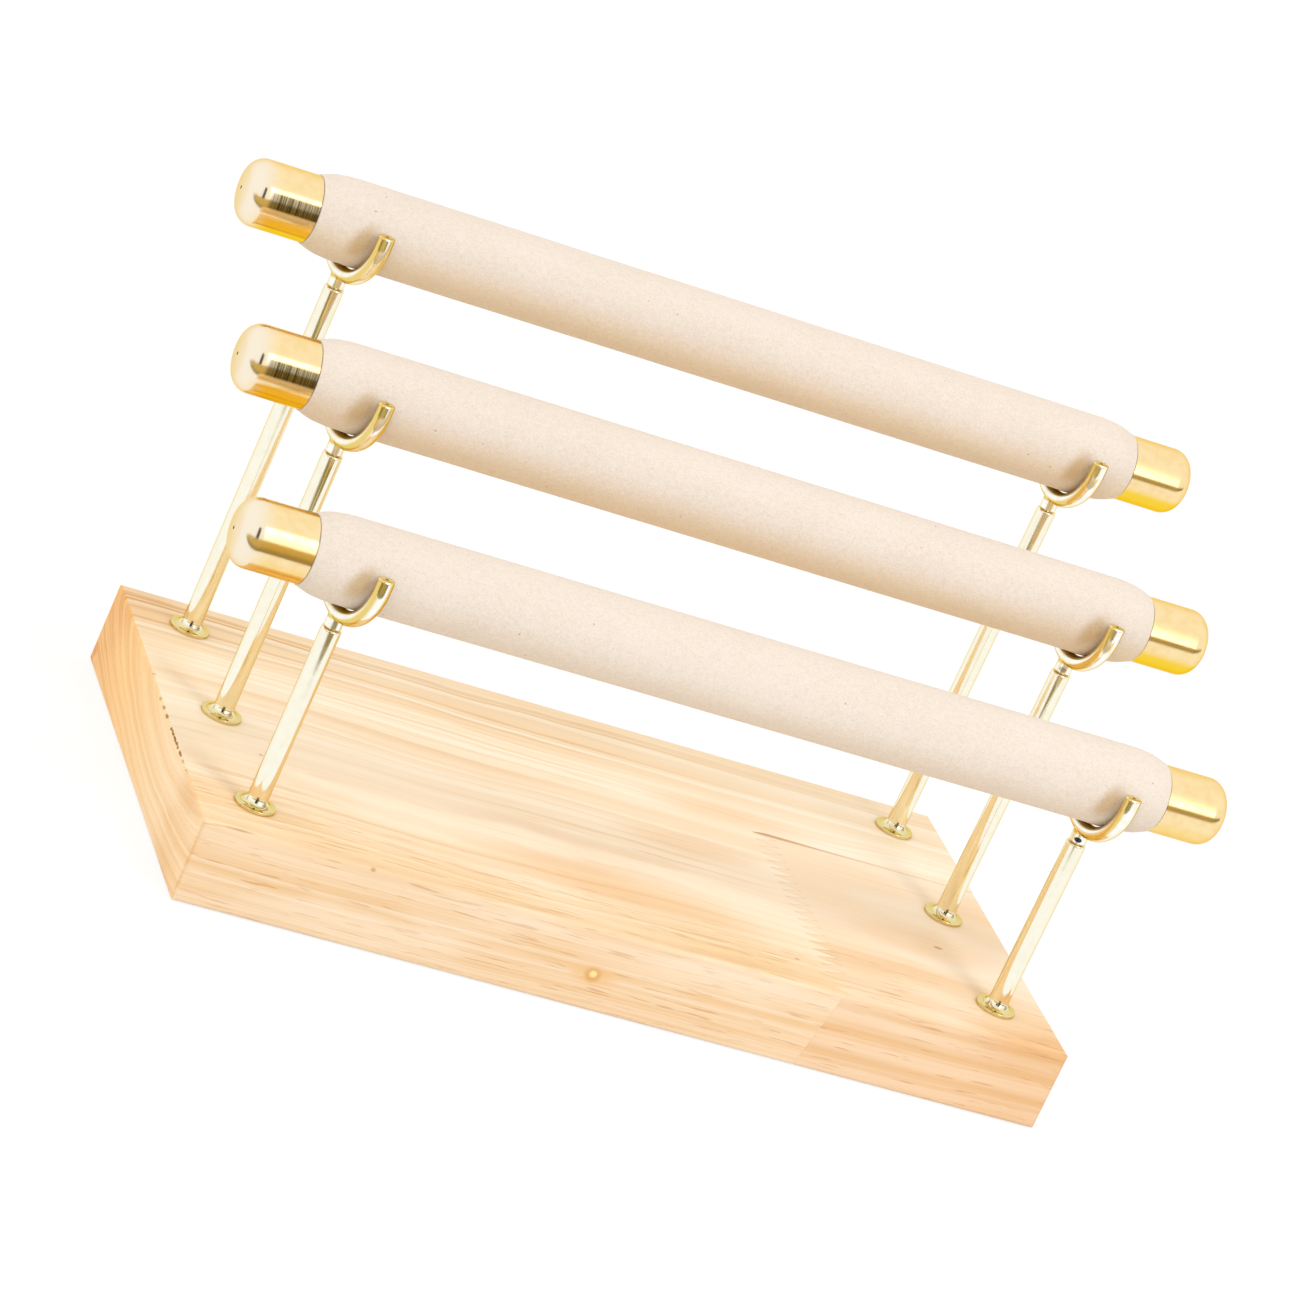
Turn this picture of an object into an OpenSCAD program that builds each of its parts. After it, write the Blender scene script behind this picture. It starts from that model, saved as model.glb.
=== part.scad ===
// Three-tier jewelry display stand: a wooden board carries three rows of two metal posts,
// and each row holds one padded bar in a pair of U-shaped cradles.
// The bars run along X, the front is -Y, and the origin is the middle of the board's underside.

/* [Board] */
// Length of the board, along the bars
base_l = 300; // [280:1:360]
// Depth of the board, front to back
base_w = 163; // [145:1:200]
// Thickness of the board
base_t = 28; // [24:1:40]
// Radius of the board's eased edges
base_edge_r = 1.2; // [0.6:0.1:3]

/* [Posts] */
// Distance from the board's left and right ends to the middle of a post
post_inset_x = 20.5; // [12:0.5:40]
// Distance from the board's front and back edges to the middle of a post
post_inset_y = 21; // [12:0.5:30]
// Diameter of a post
post_d = 6.6; // [6.4:0.1:9]
// Height of the front posts above the board
front_post_h = 63; // [40:1:100]
// How much higher each row is than the row in front of it
row_rise = 31.2; // [15:0.1:45]
// Rounding of a post's top edge
post_top_r = 0.7; // [0.2:0.1:0.7]
// Diameter of the round foot that each post is turned with
foot_d = 13.4; // [12.5:0.1:16]
// Thickness of the foot at its rim
foot_rim_t = 1.2; // [0.8:0.1:2]
// Rounding of the foot's edges
foot_edge_r = 0.3; // [0.1:0.1:0.4]
// Radius of the hollow curve from the foot up to the post
foot_curve_r = 2.6; // [1:0.1:2.8]

/* [Cradles] */
// Thickness of the flattened rod that a cradle is bent from
rod_d = 4.9; // [4.4:0.1:6]
// Width of the flattened rod, along the bar
rod_w = 5.7; // [5:0.1:7]
// How much wider a cradle opens than its bar
cradle_play = 0.8; // [0.6:0.1:8]
// Length of a cradle's straight arms, from the half-round bend to their flat tips
arm_l = 3.8; // [1:0.1:12]
// Rounding of the tips' edges
tip_edge_r = 0.6; // [0.2:0.1:1.5]
// Gap between a bar's cover and the cradle that it rests in
bar_seat_gap = 0.3; // [0.2:0.05:0.6]
// Least gap between a bar's cover and the sides of a cradle that stands turned
bar_side_gap = 0.1; // [0.1:0.05:0.6]
// Diameter of the collar under a cradle
collar_d = 5.6; // [4.2:0.1:6]
// Height of the collar below the bend
collar_h = 2.5; // [0.8:0.1:3]
// Height of the bare stud that shows between the collar and the post
waist_h = 0.5; // [0.2:0.1:2]
// Turn of the left cradles on their posts
left_cradle_turn = 13; // [0:1:20]
// Turn of the right cradles on their posts
right_cradle_turn = 8; // [0:1:20]
// Diameter of a cradle's threaded stud
stud_d = 3.4; // [3:0.1:3.8]
// Length of the stud inside the post
stud_l = 8; // [5:0.5:14]

/* [Bars] */
// Diameter of a bar over its soft cover
bar_d = 27.6; // [26:0.1:34]
// Diameter of the wooden dowel in the middle of a bar
dowel_d = 19.4; // [18:0.1:20]
// Bevel on the dowel's ends
dowel_bevel = 1; // [0.5:0.1:2]
// How far the soft cover reaches past the middle of the posts at each end
cover_reach = 17.5; // [16:0.5:30]
// Thickness of the cover's cloth
cover_t = 0.9; // [0.5:0.1:1.5]
// Length of the rounded shoulder at each end of the cover
shoulder_l = 12; // [8:0.5:14]
// How far the end of the cover stands proud of the cap beside it
cover_step = 0.3; // [0.1:0.1:0.8]
// Gap between the layers of a bar
wrap_gap = 0.1; // [0.05:0.05:0.2]

/* [End caps] */
// Length of an end cap from its rim to the middle of its domed end
cap_l = 23.3; // [16:0.1:40]
// Wall of an end cap
cap_wall = 1; // [0.6:0.1:1.4]
// Gap between the dowel and the cap pushed over it
cap_fit = 0.3; // [0.1:0.1:0.5]
// Radius of the cap's rounded end edge
cap_edge_r = 6; // [3:0.1:7]
// Radius of the cap's slightly domed end face
cap_dome_r = 40; // [20:1:80]
// Diameter of the small vent hole in the end face
cap_vent_d = 1.1; // [0.8:0.1:2]
// Gap between the cap's rim and the soft cover
cap_gap = 0.2; // [0.1:0.1:0.8]

/* [Screws] */
// Diameter of the screws that hold the posts
screw_d = 3.6; // [3:0.1:3.8]
// How far a screw reaches into its post
screw_grip = 6.5; // [4:0.5:12]
// Diameter of a screw's round head
screw_head_d = 7; // [6.2:0.1:8]
// Height of a screw's head
screw_head_h = 2.6; // [2:0.1:3.4]
// Rounding of the head's edge
screw_head_r = 1; // [0.3:0.1:1.4]
// Width of the cross slot in the head
driver_slot_w = 1; // [0.6:0.1:1.3]
// Length of the cross slot
driver_slot_l = 4.4; // [3:0.1:5]
// Depth of the cross slot
driver_slot_depth = 1.3; // [0.6:0.1:1.6]
// Diameter of the washer under the head
washer_d = 9.6; // [8.6:0.1:10.6]
// Thickness of the washer
washer_t = 0.8; // [0.5:0.1:1.2]
// Diameter of the recess that hides the head
recess_d = 11; // [10.8:0.1:12.4]
// Depth of that recess
recess_depth = 9; // [7:0.5:12]
// Gap round a screw or a stud in its hole
thread_gap = 0.1; // [0.05:0.05:0.2]
// Depth left free past the end of a screw or a stud
hole_spare = 1.5; // [0.5:0.5:3]

/* [Hidden] */
$fn = 96;

// Extra length of a cutting shape past the face that it cuts
over = 1;

// The posts stand in from the board's edges, and the bars reach past the posts
post_span = base_l - 2 * post_inset_x;
row_gap = base_w / 2 - post_inset_y;
cover_l = post_span + 2 * cover_reach;
bar_l = cover_l + 2 * (cap_gap + cap_l);

post_r = post_d / 2;
foot_r = foot_d / 2;
rod_r = rod_d / 2;
bar_r = bar_d / 2;
dowel_r = dowel_d / 2;
cap_bore_r = dowel_r + cap_fit;
cap_r = cap_bore_r + cap_wall;
curve_r = min(foot_curve_r, foot_r - foot_edge_r - post_r);

// The bar rests in the bottom of a cradle's half-round bend. The bend opens wider by the play,
// or by what cradles that stand turned need to clear the bar with both sides.
seat_r = bar_r + bar_seat_gap + rod_r;
widest_turn = max(left_cradle_turn, right_cradle_turn);
turned_rod_r = norm([rod_r * cos(widest_turn), rod_w / 2 * sin(widest_turn)]);
turned_seat_r = min(seat_r, bar_r + bar_side_gap + turned_rod_r);
turned_room = sin(widest_turn) * sqrt(pow(seat_r, 2) - pow(turned_seat_r, 2));
turned_bend_r = (seat_r - turned_room) / pow(cos(widest_turn), 2);
bend_r = max(seat_r + cradle_play / 2, turned_bend_r);
bend_lift = bend_r - seat_r;
cradle_drop = bend_r - bend_lift + rod_r + collar_h + waist_h;

// The shoulder of the cover is an arc that starts level with the bar and ends at the cap
shoulder_drop = bar_r - cap_r - cover_step;
shoulder_r = (pow(shoulder_l, 2) + pow(shoulder_drop, 2)) / (2 * shoulder_drop);

// The cap's domed face and its rounded edge touch at this angle from the axis
cap_edge_x = cap_r - cap_edge_r;
cap_blend = asin(cap_edge_x / (cap_dome_r - cap_edge_r));
cap_edge_y = cap_l - cap_dome_r + (cap_dome_r - cap_edge_r) * cos(cap_blend);
dowel_l = bar_l - 2 * (cap_l - cap_edge_y);

washer_z = recess_depth - washer_t;
screw_hole_r = screw_d / 2 + thread_gap;
stud_hole_r = stud_d / 2 + thread_gap;

function way_out(side) = side == "left" ? -1 : 1;
function rows_behind_front(row) = row == "front" ? 0 : row == "middle" ? 1 : 2;
function post_x(side) = way_out(side) * post_span / 2;
function row_y(row) = (rows_behind_front(row) - 1) * row_gap;
function post_h(row) = front_post_h + rows_behind_front(row) * row_rise;
function bar_z(row) = base_t + post_h(row) + cradle_drop;

module at_post(row, side) {
  translate([post_x(side), row_y(row), 0]) children();
}

module at_bar(row) {
  translate([0, row_y(row), bar_z(row)]) children();
}

module at_every_post() {
  for (row = ["front", "middle", "back"], side = ["left", "right"]) at_post(row, side) children();
}

// Turns a shape made along Z so that it runs along X
module along_x() {
  rotate([0, 90, 0]) children();
}

// Flat outline with rounded corners, centred
module rounded_outline(length, width, corner_r) {
  square([length - 2 * corner_r, width], center = true);
  square([length, width - 2 * corner_r], center = true);
  for (x = [-1, 1], y = [-1, 1]) {
    translate([x * (length / 2 - corner_r), y * (width / 2 - corner_r)]) circle(corner_r);
  }
}

// Block with all of its edges eased, standing on Z = 0
module eased_block(length, width, height, edge_r) {
  translate([0, 0, height / 2]) intersection() {
    linear_extrude(height, center = true) rounded_outline(length, width, edge_r);
    rotate([90, 0, 0]) linear_extrude(width, center = true) rounded_outline(length, height, edge_r);
    rotate([90, 0, 90]) linear_extrude(length, center = true) rounded_outline(width, height, edge_r);
  }
}

// Wooden board, drilled and recessed from below for the posts' screws
module base_board() {
  color("#e9c48f") difference() {
    eased_block(base_l, base_w, base_t, base_edge_r);
    at_every_post() {
      translate([0, 0, -over]) cylinder(r = screw_hole_r, h = base_t + 2 * over);
      translate([0, 0, -over]) cylinder(d = recess_d, h = recess_depth + over);
    }
  }
}

// Half section of a post: round-edged foot, hollow curve, plain shaft and eased top
module post_section(height) {
  square([foot_r - foot_edge_r, foot_rim_t]);
  translate([0, foot_edge_r]) square([foot_r, foot_rim_t - 2 * foot_edge_r]);
  for (level = [foot_edge_r, foot_rim_t - foot_edge_r]) {
    translate([foot_r - foot_edge_r, level]) circle(foot_edge_r);
  }
  square([post_r, height - post_top_r]);
  square([post_r - post_top_r, height]);
  translate([post_r - post_top_r, height - post_top_r]) circle(post_top_r);
  difference() {
    translate([0, foot_rim_t]) square([post_r + curve_r, curve_r]);
    translate([post_r + curve_r, foot_rim_t + curve_r]) circle(curve_r);
  }
}

// Turned post with its foot in one piece, tapped at both ends
module turned_post(height) {
  color("#e8cf78") difference() {
    rotate_extrude() intersection() {
      post_section(height);
      square([foot_r, height]);
    }
    translate([0, 0, -over]) cylinder(r = screw_hole_r, h = over + screw_grip + hole_spare);
    translate([0, 0, height - stud_l - hole_spare]) {
      cylinder(r = stud_hole_r, h = stud_l + hole_spare + over);
    }
  }
}

module post(row, side) {
  at_post(row, side) translate([0, 0, base_t]) turned_post(post_h(row));
}

// Round-headed screw with a cross slot, head down, its seat at Z = 0
module screw(length) {
  head_r = screw_head_d / 2;
  color("#c9ccd0") difference() {
    rotate_extrude() {
      square([screw_d / 2, length]);
      translate([0, screw_head_r - screw_head_h]) square([head_r, screw_head_h - screw_head_r]);
      translate([0, -screw_head_h]) square([head_r - screw_head_r, screw_head_h]);
      intersection() {
        translate([head_r - screw_head_r, screw_head_r - screw_head_h]) circle(screw_head_r);
        translate([0, -screw_head_h]) square([head_r, screw_head_h]);
      }
    }
    for (turn = [0, 90]) rotate([0, 0, turn]) {
      translate([-driver_slot_l / 2, -driver_slot_w / 2, -screw_head_h - over]) {
        cube([driver_slot_l, driver_slot_w, driver_slot_depth + over]);
      }
    }
  }
}

module post_screws() {
  at_every_post() translate([0, 0, washer_z]) screw(base_t - washer_z + screw_grip);
}

module screw_washers() {
  color("#c9ccd0") at_every_post() translate([0, 0, washer_z]) difference() {
    cylinder(d = washer_d, h = washer_t);
    translate([0, 0, -over]) cylinder(r = screw_hole_r, h = washer_t + 2 * over);
  }
}

// One straight arm with a round-edged flat tip, standing on the end of the bend
module cradle_arm() {
  rotate_extrude() {
    square([rod_r, arm_l - tip_edge_r]);
    square([rod_r - tip_edge_r, arm_l]);
    translate([rod_r - tip_edge_r, arm_l - tip_edge_r]) circle(tip_edge_r);
  }
}

// U of bent rod below the bar's axis, with the collar and the stud that screw into the post
module cradle_shape() {
  translate([0, 0, bend_lift]) scale([rod_w / rod_d, 1, 1]) {
    rotate([-90, 0, 90]) rotate_extrude(angle = 180) translate([bend_r, 0]) circle(rod_r);
    for (way = [-1, 1]) translate([0, way * bend_r, 0]) cradle_arm();
  }
  translate([0, 0, waist_h - cradle_drop]) cylinder(d = collar_d, h = collar_h + rod_r);
  translate([0, 0, -cradle_drop - stud_l]) cylinder(d = stud_d, h = stud_l + waist_h + collar_h);
}

module cradle(row, side) {
  turn = side == "left" ? left_cradle_turn : right_cradle_turn;
  color("#e8cf78") at_post(row, side) translate([0, 0, bar_z(row)]) rotate([0, 0, turn]) cradle_shape();
}

// Half section of a bar's soft part, taken in by the inset and ending at the half length
module spindle_section(inset, half_l) {
  straight_l = cover_l / 2 - shoulder_l;
  translate([0, -straight_l]) square([bar_r - inset, 2 * straight_l]);
  for (way = [0, 1]) mirror([0, way]) intersection() {
    translate([bar_r - shoulder_r, straight_l]) circle(shoulder_r - inset, $fn = 360);
    translate([0, straight_l]) square([bar_r, half_l - straight_l]);
  }
}

// Wooden dowel down the middle of a bar, with bevelled ends inside the caps
module dowel(row) {
  half = dowel_l / 2;
  color("#d8b483") at_bar(row) along_x() rotate_extrude() polygon([
    [0, -half],
    [dowel_r - dowel_bevel, -half],
    [dowel_r, dowel_bevel - half],
    [dowel_r, half - dowel_bevel],
    [dowel_r - dowel_bevel, half],
    [0, half]
  ]);
}

// Foam tube round the dowel, closed in by the cover
module padding(row) {
  inset = cover_t + wrap_gap;
  color("#f4efe4") at_bar(row) along_x() difference() {
    rotate_extrude() spindle_section(inset, cover_l / 2 - inset);
    cylinder(r = dowel_r + wrap_gap, h = cover_l + 2 * over, center = true);
  }
}

// Cloth sleeve over the foam, turned in at both ends down to the dowel
module cover(row) {
  color("#ecdccb") at_bar(row) along_x() difference() {
    rotate_extrude() spindle_section(0, cover_l / 2);
    rotate_extrude() spindle_section(cover_t, cover_l / 2 - cover_t);
    cylinder(r = dowel_r + wrap_gap, h = cover_l + 2 * over, center = true);
  }
}

// Half section of an end cap's outside, or of its inside when taken in by the wall
module cap_section(inset) {
  square([cap_r - inset, cap_edge_y]);
  intersection() {
    translate([cap_edge_x, cap_edge_y]) circle(cap_edge_r - inset);
    square([cap_r, cap_l]);
  }
  intersection() {
    translate([0, cap_l - cap_dome_r]) circle(cap_dome_r - inset, $fn = 360);
    translate([0, cap_l - cap_dome_r]) polygon([
      [0, 0],
      [0, 2 * cap_dome_r],
      [2 * cap_dome_r * sin(cap_blend), 2 * cap_dome_r * cos(cap_blend)]
    ]);
    square([cap_r, cap_l]);
  }
}

// Drawn metal cap, open towards the cover and vented in the middle of its end
module cap(row, side) {
  color("#e6bf55") at_bar(row) mirror([side == "left" ? 1 : 0, 0, 0]) {
    translate([bar_l / 2 - cap_l, 0, 0]) along_x() difference() {
      rotate_extrude() cap_section(0);
      rotate_extrude() cap_section(cap_wall);
      cylinder(d = cap_vent_d, h = cap_l + over);
    }
  }
}

base_board();
post("front", "left");  // front_left_post
post("front", "right");  // front_right_post
post("middle", "left");  // middle_left_post
post("middle", "right");  // middle_right_post
post("back", "left");  // back_left_post
post("back", "right");  // back_right_post
post_screws();
screw_washers();
cradle("front", "left");  // front_left_cradle
cradle("front", "right");  // front_right_cradle
cradle("middle", "left");  // middle_left_cradle
cradle("middle", "right");  // middle_right_cradle
cradle("back", "left");  // back_left_cradle
cradle("back", "right");  // back_right_cradle
dowel("front");  // front_dowel
dowel("middle");  // middle_dowel
dowel("back");  // back_dowel
padding("front");  // front_padding
padding("middle");  // middle_padding
padding("back");  // back_padding
cover("front");  // front_cover
cover("middle");  // middle_cover
cover("back");  // back_cover
cap("front", "left");  // front_left_cap
cap("front", "right");  // front_right_cap
cap("middle", "left");  // middle_left_cap
cap("middle", "right");  // middle_right_cap
cap("back", "left");  // back_left_cap
cap("back", "right");  // back_right_cap
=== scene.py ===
import math
import bpy
from mathutils import Matrix, Vector, noise


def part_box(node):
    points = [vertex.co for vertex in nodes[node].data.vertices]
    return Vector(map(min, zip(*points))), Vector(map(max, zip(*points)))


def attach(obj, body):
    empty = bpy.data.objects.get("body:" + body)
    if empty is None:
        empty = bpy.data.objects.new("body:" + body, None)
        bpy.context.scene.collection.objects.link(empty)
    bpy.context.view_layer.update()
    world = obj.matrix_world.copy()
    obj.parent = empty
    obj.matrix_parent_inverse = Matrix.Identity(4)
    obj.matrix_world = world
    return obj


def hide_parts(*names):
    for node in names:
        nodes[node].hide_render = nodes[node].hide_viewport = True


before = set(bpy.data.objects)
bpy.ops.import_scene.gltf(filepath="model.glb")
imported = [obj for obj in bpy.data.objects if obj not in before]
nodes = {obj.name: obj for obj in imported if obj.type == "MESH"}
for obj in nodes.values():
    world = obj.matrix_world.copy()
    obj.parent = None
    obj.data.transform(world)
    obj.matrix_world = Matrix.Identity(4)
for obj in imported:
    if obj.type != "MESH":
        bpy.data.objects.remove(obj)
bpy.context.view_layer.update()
scene = bpy.context.scene
rows = ("front", "middle", "back")
sides = ("left", "right")
mm = 0.001
print("frame loaded:", len(nodes), "nodes")

# where the CAD's pieces stand, in millimetres and degrees, for what is painted on them or pressed into them
stand = {
    "boardTop": 28.0,
    "postX": 129.5,
    "rowGap": 60.5,
    "rise": 31.2,  # how much higher each row is than the row in front of it
    "middleRowZ": 144.2,
    "turn": {"left": 13.0, "right": 8.0},  # of the cradles on their posts
}

# the camera stands where the photograph was taken from, rolled to the left
cameraLook = {
    "place": (-0.693877, -1.588388, 0.707077),
    "azimuth": 23.484,  # degrees from +Y towards +X
    "down": 19.568,  # degrees below the horizon
    "roll": 24.637,
    "lens": 160.08,
    "shift": (-0.00491, -0.00488),
}


def makeCamera(look):
    az, down, roll = (math.radians(look[k]) for k in ("azimuth", "down", "roll"))
    ahead = Vector((math.sin(az) * math.cos(down), math.cos(az) * math.cos(down), -math.sin(down)))
    level = Vector((math.cos(az), -math.sin(az), 0))
    upright = level.cross(ahead)
    right = level * math.cos(roll) + upright * math.sin(roll)
    up = right.cross(ahead)
    data = bpy.data.cameras.new("camera")
    data.sensor_width = 36
    data.lens = look["lens"]
    data.shift_x, data.shift_y = look["shift"]
    data.clip_start, data.clip_end = 0.05, 50
    camera = bpy.data.objects.new("camera", data)
    scene.collection.objects.link(camera)
    turn = Matrix((right, up, -ahead)).transposed().to_4x4()
    camera.matrix_world = Matrix.Translation(look["place"]) @ turn
    scene.camera = camera


makeCamera(cameraLook)
print("camera placed")


# helpers for node trees; lengths in the patterns are millimetres, and a fade in a dictionary is two
# limits, with the strength at each where it isn't simply none and full
def toLinear(part):
    return part / 12.92 if part <= 0.04045 else ((part + 0.055) / 1.055) ** 2.4


def paint(code):
    return (*[toLinear(int(code[i:i + 2], 16) / 255) for i in (1, 3, 5)], 1.0)


def plug(tree, socket, value):
    if isinstance(value, bpy.types.NodeSocket):
        tree.links.new(value, socket)
    else:
        socket.default_value = value


def addNode(tree, kind, inputs=None, **settings):
    node = tree.nodes.new(kind)
    for key, value in settings.items():
        setattr(node, key, value)
    for key, value in (inputs or {}).items():
        plug(tree, node.inputs[key], value)
    return node


def calc(tree, operation, *values, clamp=False):
    inputs = dict(enumerate(values))
    return addNode(tree, "ShaderNodeMath", inputs, operation=operation, use_clamp=clamp).outputs[0]


def times(tree, first, *others):
    for other in others:
        first = calc(tree, "MULTIPLY", first, other)
    return first


def vecCalc(tree, operation, *values):
    node = addNode(tree, "ShaderNodeVectorMath", dict(enumerate(values)), operation=operation)
    return node.outputs["Value" if operation in ("LENGTH", "DISTANCE") else "Vector"]


def mixPaint(tree, share, first, second, blend="MIX"):
    node = addNode(tree, "ShaderNodeMix", data_type="RGBA", blend_type=blend)
    for index, value in ((0, share), (6, first), (7, second)):
        plug(tree, node.inputs[index], value)
    return node.outputs[2]


def spread(tree, value, low, high, start=0.0, end=1.0):
    inputs = {"Value": value, 1: low, 2: high, 3: start, 4: end}
    return addNode(tree, "ShaderNodeMapRange", inputs, interpolation_type="SMOOTHSTEP").outputs[0]


def dim(tree, share, least):
    # full strength where the share is none, the least where it is full
    return spread(tree, share, 0.0, 1.0, 1.0, least)


def cloud(tree, place, stretch, detail=2.0, rough=0.5, shift=(0.0, 0.0, 0.0)):
    vector = addNode(tree, "ShaderNodeMapping", {"Vector": place, "Scale": stretch, "Location": shift})
    inputs = {"Vector": vector.outputs[0], "Scale": 1.0, "Detail": detail, "Roughness": rough}
    return addNode(tree, "ShaderNodeTexNoise", inputs).outputs[0]


def band(tree, along, scale, detail=2.0, rough=0.5, shift=0.0):
    w = calc(tree, "MULTIPLY_ADD", along, scale, shift)
    inputs = {"W": w, "Scale": 1.0, "Detail": detail, "Roughness": rough}
    return addNode(tree, "ShaderNodeTexNoise", inputs, noise_dimensions="1D").outputs[0]


def point(tree, x, y, z=0.0):
    return addNode(tree, "ShaderNodeCombineXYZ", {0: x, 1: y, 2: z}).outputs[0]


def splitAxes(tree, place):
    return addNode(tree, "ShaderNodeSeparateXYZ", {0: place}).outputs[:3]


def paintSpot(tree, place, tone, middle, size, edge, colour, strength):
    # one oval spot, its edge faded between two shares of its size
    offset = vecCalc(tree, "DIVIDE", vecCalc(tree, "SUBTRACT", place, middle), size)
    near = spread(tree, vecCalc(tree, "LENGTH", offset), *edge, 0.0, strength)
    return mixPaint(tree, near, tone, paint(colour))


def newMaterial(name):
    material = bpy.data.materials.new(name)
    material.use_nodes = True
    tree = material.node_tree
    place = addNode(tree, "ShaderNodeTexCoord").outputs["Object"]
    place = vecCalc(tree, "MULTIPLY", place, (1000, 1000, 1000))
    return material, tree, tree.nodes["Principled BSDF"], place


def bump(tree, shader, height, strength, distance):
    inputs = {"Height": height, "Strength": strength, "Distance": distance * mm}
    plug(tree, shader.inputs["Normal"], addNode(tree, "ShaderNodeBump", inputs).outputs[0])


def dress(name, material):
    mesh = nodes[name].data
    mesh.materials.clear()
    mesh.materials.append(material)
    mesh.polygons.foreach_set("material_index", [0] * len(mesh.polygons))


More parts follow.
